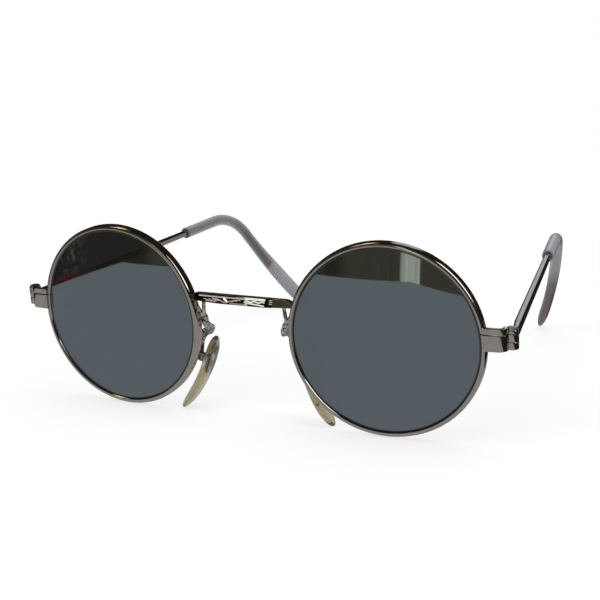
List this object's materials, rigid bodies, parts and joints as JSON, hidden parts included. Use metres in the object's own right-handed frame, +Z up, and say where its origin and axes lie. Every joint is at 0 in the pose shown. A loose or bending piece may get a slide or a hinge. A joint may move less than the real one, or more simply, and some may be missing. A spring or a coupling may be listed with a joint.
{
  "type": "round sunglasses",
  "caption": "Round metal sunglasses with mirrored lenses, an engraved bar bridge, rocking clear nose pads and slim folding temples with soft plastic ear tips.",
  "frame": {"origin": "on the table under the middle of the object's box, temples open", "axes": "+X to the object's side that is on the right in a front view, +Y back from the lenses to the ear tips, +Z up"},
  "size_m": [0.1268, 0.1274, 0.0455],
  "materials": {
    "plated_metal": "bright nickel plate, lightly worn",
    "screw_steel": "turned and plated",
    "mirror_lens": "dark grey mirror coating",
    "pad_plastic": "clear, slightly yellowed",
    "tip_plastic": "translucent pinkish grey, satin"
  },
  "bodies": {
    "front": {"bridge": "plated_metal", "left_rim": "plated_metal", "right_rim": "plated_metal", "left_lens": "mirror_lens", "right_lens": "mirror_lens", "left_end_strip": "plated_metal", "right_end_strip": "plated_metal", "left_rim_clamp": "plated_metal", "right_rim_clamp": "plated_metal", "left_lower_knuckle": "plated_metal", "right_lower_knuckle": "plated_metal", "left_upper_knuckle": "plated_metal", "right_upper_knuckle": "plated_metal", "left_hinge_screw": "screw_steel", "right_hinge_screw": "screw_steel", "left_pad_arm": "plated_metal", "right_pad_arm": "plated_metal"},
    "left_temple_arm": {"left_temple": "plated_metal", "left_temple_tip": "tip_plastic", "left_temple_knuckle": "plated_metal"},
    "left_pad": {"left_nose_pad": "pad_plastic", "left_pad_insert": "screw_steel", "left_pad_screw": "screw_steel"},
    "right_temple_arm": {"right_temple": "plated_metal", "right_temple_tip": "tip_plastic", "right_temple_knuckle": "plated_metal"},
    "right_pad": {"right_nose_pad": "pad_plastic", "right_pad_insert": "screw_steel", "right_pad_screw": "screw_steel"}
  },
  "joints": [
    {"name": "left_temple_fold", "type": "hinge", "parent": "front", "child": "left_temple_arm", "pos_m": [-0.06193, -0.05668, 0.02555], "axis": [0, 0.1057, -0.9944], "range_deg": [0, 63]},
    {"name": "right_temple_fold", "type": "hinge", "parent": "front", "child": "right_temple_arm", "pos_m": [0.06193, -0.05668, 0.02555], "axis": [0, -0.1057, 0.9944], "range_deg": [0, 77]},
    {"name": "left_pad_rock", "type": "hinge", "parent": "front", "child": "left_pad", "pos_m": [-0.01568, -0.05392, 0.01291], "axis": [0, -0.9944, -0.1057], "range_deg": [-10, 10]},
    {"name": "right_pad_rock", "type": "hinge", "parent": "front", "child": "right_pad", "pos_m": [0.01568, -0.05392, 0.01291], "axis": [0, 0.9944, 0.1057], "range_deg": [-10, 10]}
  ]
}
